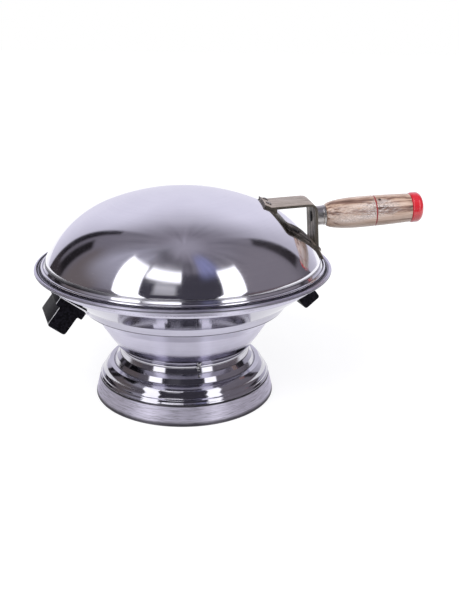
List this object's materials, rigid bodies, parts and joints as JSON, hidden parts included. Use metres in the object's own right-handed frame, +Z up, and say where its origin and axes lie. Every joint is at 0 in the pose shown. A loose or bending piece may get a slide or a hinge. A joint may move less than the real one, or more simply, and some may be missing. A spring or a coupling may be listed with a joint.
{
  "type": "bati oven",
  "caption": "Stove-top bati oven: a loose domed lid with a wooden handle on a bent strap, over a flared bowl with side grips, on a pedestal that stands over a burner.",
  "frame": {"origin": "on the oven's axis, in the plane that the foot stands on", "axes": "+Z up along the oven's axis, +X towards the lid's handle"},
  "size_m": [0.3959, 0.3, 0.2155],
  "materials": {
    "bowl_aluminium": "polished",
    "pedestal_aluminium": "polished shoulder, brushed skirt",
    "lid_aluminium": "polished",
    "weld_metal": "rough",
    "plate_aluminium": "satin",
    "bakelite": "moulded, semi-gloss",
    "fastener_steel": "plain",
    "insert_brass": "plain",
    "flame_iron": "scaled by heat",
    "rack_wire": "plated",
    "strap_steel": "tarnished",
    "rivet_steel": "dull",
    "ferrule_steel": "turned",
    "grip_wood": "varnished, with a painted ring",
    "red_plastic": "glossy"
  },
  "bodies": {
    "oven_base": {"bowl": "bowl_aluminium", "pedestal": "pedestal_aluminium", "neck_welds": "weld_metal", "left_handle": "bakelite", "right_handle": "bakelite", "handle_plates": "plate_aluminium", "handle_bolts": "fastener_steel", "handle_washers": "fastener_steel", "handle_inserts": "insert_brass"},
    "lid": {"lid_dome": "lid_aluminium", "lid_bracket": "strap_steel", "bracket_rivets_upper": "rivet_steel", "bracket_rivets_lower": "rivet_steel", "handle_ferrule": "ferrule_steel", "handle_tang": "fastener_steel", "handle_grip": "grip_wood", "handle_end_cap": "red_plastic", "tang_nut": "fastener_steel", "tang_washer": "fastener_steel"},
    "rack": {"rack_ring": "rack_wire", "rack_bars": "rack_wire", "rack_bearers": "rack_wire"},
    "flame_spreader": {"flame_plate": "flame_iron", "flame_plate_legs": "flame_iron", "flame_plate_rivets": "fastener_steel"}
  },
  "joints": [
    {"name": "lid_lift", "type": "slide", "parent": "oven_base", "child": "lid", "axis": [0, 0, 1], "range_m": [0, 0.15]},
    {"name": "rack_lift", "type": "slide", "parent": "oven_base", "child": "rack", "axis": [0, 0, 1], "range_m": [0, 0.055]},
    {"name": "flame_plate_lift", "type": "slide", "parent": "oven_base", "child": "flame_spreader", "axis": [0, 0, 1], "range_m": [0, 0.015]}
  ]
}
